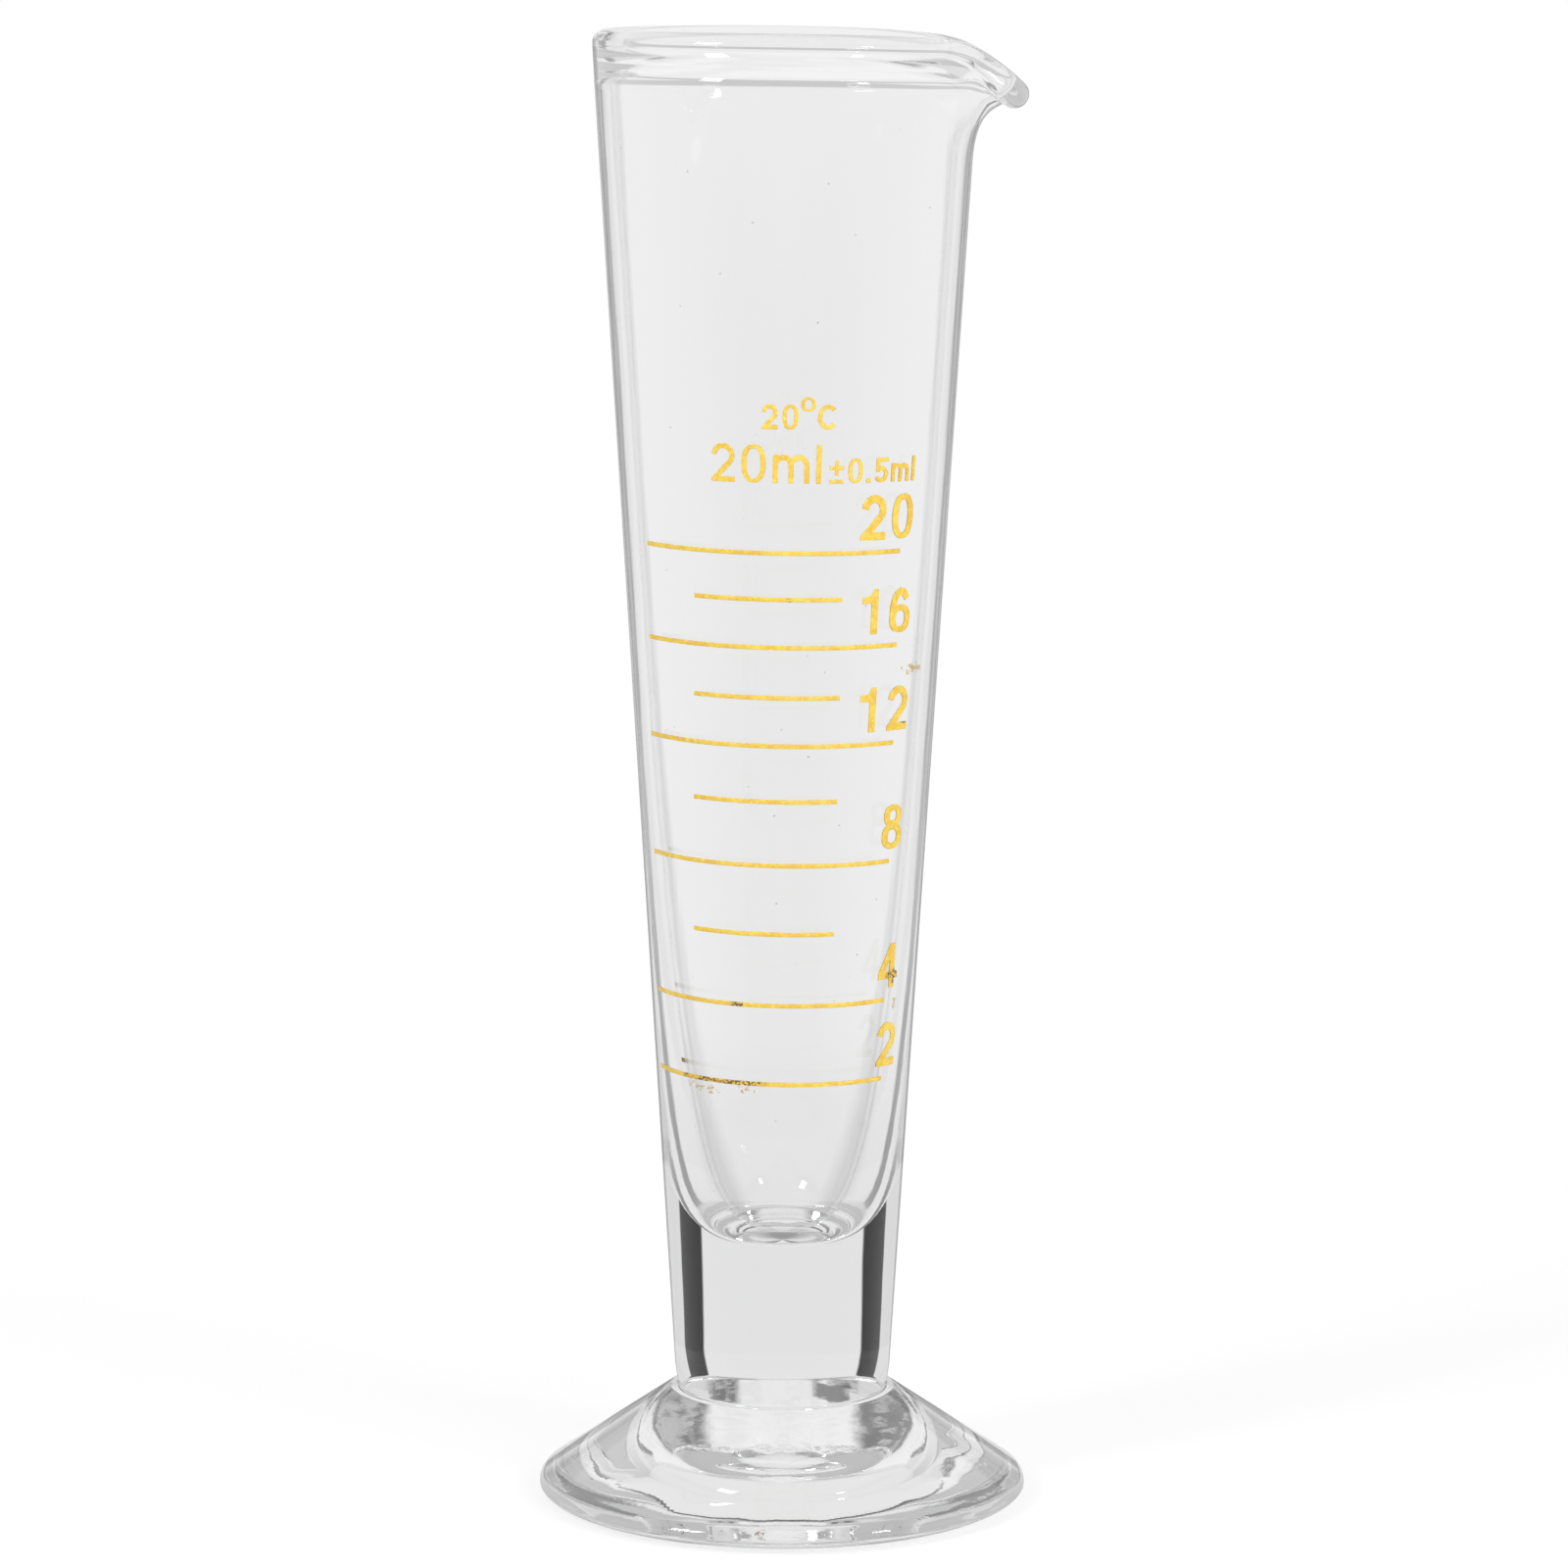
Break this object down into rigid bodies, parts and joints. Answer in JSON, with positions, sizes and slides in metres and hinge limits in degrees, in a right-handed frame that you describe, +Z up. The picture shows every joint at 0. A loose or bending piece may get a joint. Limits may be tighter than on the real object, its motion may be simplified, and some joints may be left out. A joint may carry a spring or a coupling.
{
  "type": "conical measuring glass",
  "caption": "Clear glass measuring cone with a pouring lip, a solid stem and a round pressed foot, marked with a fired amber volume scale",
  "frame": {"origin": "The centre of the foot, on the table: the axis of the cone meets the plane that the foot stands on.", "axes": "+Z runs up the axis of the cone. +X points from the axis to the middle of the pouring lip. The scale faces -Y."},
  "size_m": [0.0432, 0.0432, 0.1293],
  "materials": {
    "clear_glass": "clear fire-polished glass, bright and smooth, with a few fine seeds and scratches",
    "amber_enamel": "thin fired enamel, golden amber, slightly grainy, satin"
  },
  "bodies": {
    "root": {"measuring_cone": "clear_glass", "foot": "clear_glass", "graduation_20": "amber_enamel", "graduation_18": "amber_enamel", "graduation_16": "amber_enamel", "graduation_14": "amber_enamel", "graduation_12": "amber_enamel", "graduation_10": "amber_enamel", "graduation_8": "amber_enamel", "graduation_6": "amber_enamel", "graduation_4": "amber_enamel", "graduation_2": "amber_enamel", "numeral_20": "amber_enamel", "numeral_16": "amber_enamel", "numeral_12": "amber_enamel", "numeral_8": "amber_enamel", "numeral_4": "amber_enamel", "numeral_2": "amber_enamel", "capacity_mark": "amber_enamel", "tolerance_mark": "amber_enamel", "temperature_mark": "amber_enamel"}
  },
  "joints": []
}
